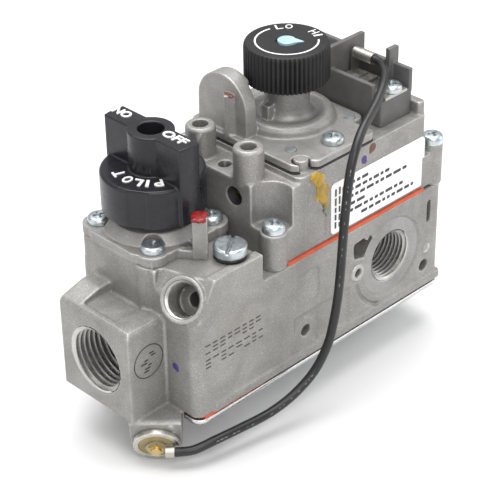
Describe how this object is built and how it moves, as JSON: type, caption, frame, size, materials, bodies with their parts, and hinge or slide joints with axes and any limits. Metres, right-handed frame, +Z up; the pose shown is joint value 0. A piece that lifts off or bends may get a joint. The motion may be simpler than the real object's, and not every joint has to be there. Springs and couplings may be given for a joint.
{
  "type": "combination gas valve",
  "caption": "Combination gas valve with a push-and-turn gas cock knob, a pressure dial, a magnet connector, a terminal block and a jumper wire.",
  "frame": {"origin": "centre of the inlet thread at the inlet face", "axes": "+X runs from the inlet to the far end, -Y is the outlet side, +Z is up towards the knob and the pressure dial"},
  "size_m": [0.1233, 0.0601, 0.1066],
  "materials": {
    "cast_alloy": "die-cast, tumbled",
    "head_alloy": "die-cast",
    "bonnet_alloy": "die-cast, smooth",
    "cover_plate": "stamped sheet",
    "gasket_red": "orange-red fibre gasket",
    "gasket_dark": "dark fibre gasket",
    "diaphragm": "matt",
    "zinc_screw": "zinc plated",
    "brass": "turned",
    "spring_wire": "drawn wire",
    "knob_black": "gloss moulding",
    "knob_screw": "black oxide",
    "screen": "perforated",
    "magnet_can": "plated can",
    "magnet_nut": "plated nut",
    "fibre": "insulating washer",
    "valve_rubber": "moulded seal",
    "terminal_tin": "tinned",
    "wire_black": "smooth insulation",
    "o_ring": "smooth",
    "dial_black": "ribbed moulding",
    "dial_insert": "pale insert",
    "coil": "taped winding",
    "plunger": "ground",
    "block_grey": "moulded"
  },
  "bodies": {
    "valve_body": {"lower_body": "cast_alloy", "upper_casting": "head_alloy", "body_gasket": "gasket_red", "main_diaphragm": "diaphragm", "bottom_cover": "cover_plate", "bottom_gasket": "gasket_red", "bottom_cover_screws": "zinc_screw", "gas_cock_cover": "bonnet_alloy", "cock_cover_screws": "zinc_screw", "inlet_screen": "screen", "magnet_unit": "magnet_can", "magnet_nut": "magnet_nut", "fibre_washer": "fibre", "contact_stud": "brass", "lower_ring_terminal": "terminal_tin", "jumper_wire": "wire_black", "upper_ring_terminal": "terminal_tin", "slotted_plug": "zinc_screw", "plug_o_ring": "o_ring", "regulator_bonnet": "bonnet_alloy", "bonnet_gasket": "gasket_dark", "bonnet_screws": "zinc_screw", "bonnet_dowels": "zinc_screw", "regulator_diaphragm": "diaphragm", "diaphragm_plate": "plunger", "solenoid_coil": "coil", "terminal_block": "block_grey", "terminal_plates": "terminal_tin", "terminal_screws": "zinc_screw", "head_screws": "zinc_screw"},
    "cock_rotor": {"cock_plug": "brass"},
    "knob": {"gas_cock_knob": "knob_black", "cock_stem": "brass", "knob_screw": "knob_screw", "cock_spring": "spring_wire"},
    "safety_valve": {"safety_valve_disc": "valve_rubber", "safety_valve_spring": "spring_wire"},
    "dial": {"pressure_dial": "dial_black", "dial_pointer": "dial_insert", "regulator_screw": "brass"},
    "spring_seat": {"spring_seat": "plunger", "regulator_spring": "spring_wire"},
    "main_valve": {"main_valve": "valve_rubber", "main_valve_spring": "spring_wire"},
    "plunger": {"solenoid_plunger": "plunger", "plunger_spring": "spring_wire"},
    "pilot_needle": {"pilot_needle": "brass"}
  },
  "joints": [
    {"name": "knob_turn", "type": "hinge", "parent": "valve_body", "child": "cock_rotor", "pos_m": [0.03, 0.0052, 0], "axis": [0, 0, 1], "range_deg": [0, 180]},
    {"name": "knob_push", "type": "slide", "parent": "cock_rotor", "child": "knob", "axis": [0, 0, -1], "range_m": [0, 0.003], "stiffness_N_per_m": 600, "springref_m": -0.004, "deforming": ["cock_spring"]},
    {"name": "safety_valve_lift", "type": "slide", "parent": "valve_body", "child": "safety_valve", "axis": [-0.6645, -0.6645, -0.342], "range_m": [0, 0.003]},
    {"name": "dial_turn", "type": "hinge", "parent": "valve_body", "child": "dial", "pos_m": [0.079, -0.001, 0], "axis": [0, 0, 1], "range_deg": [0, 225]},
    {"name": "spring_seat_travel", "type": "slide", "parent": "valve_body", "child": "spring_seat", "axis": [0, 0, -1], "range_m": [0, 0.0006], "deforming": ["regulator_spring"]},
    {"name": "main_valve_lift", "type": "slide", "parent": "valve_body", "child": "main_valve", "axis": [0, 0, 1], "range_m": [0, 0.003], "stiffness_N_per_m": 120, "springref_m": -0.003, "deforming": ["main_valve_spring"]},
    {"name": "plunger_lift", "type": "slide", "parent": "valve_body", "child": "plunger", "axis": [0, 0, 1], "range_m": [0, 0.002], "stiffness_N_per_m": 80, "springref_m": -0.003, "deforming": ["plunger_spring"]},
    {"name": "needle_turn", "type": "hinge", "parent": "valve_body", "child": "pilot_needle", "pos_m": [0.0491, -0.0106, 0.0394], "axis": [1, 0, 0], "range_deg": [0, 360]}
  ],
  "couplings": [
    {"joint": "safety_valve_lift", "follows": "knob_push", "ratio": 1},
    {"joint": "spring_seat_travel", "follows": "dial_turn", "m_per_rad": 0.00015279}
  ]
}
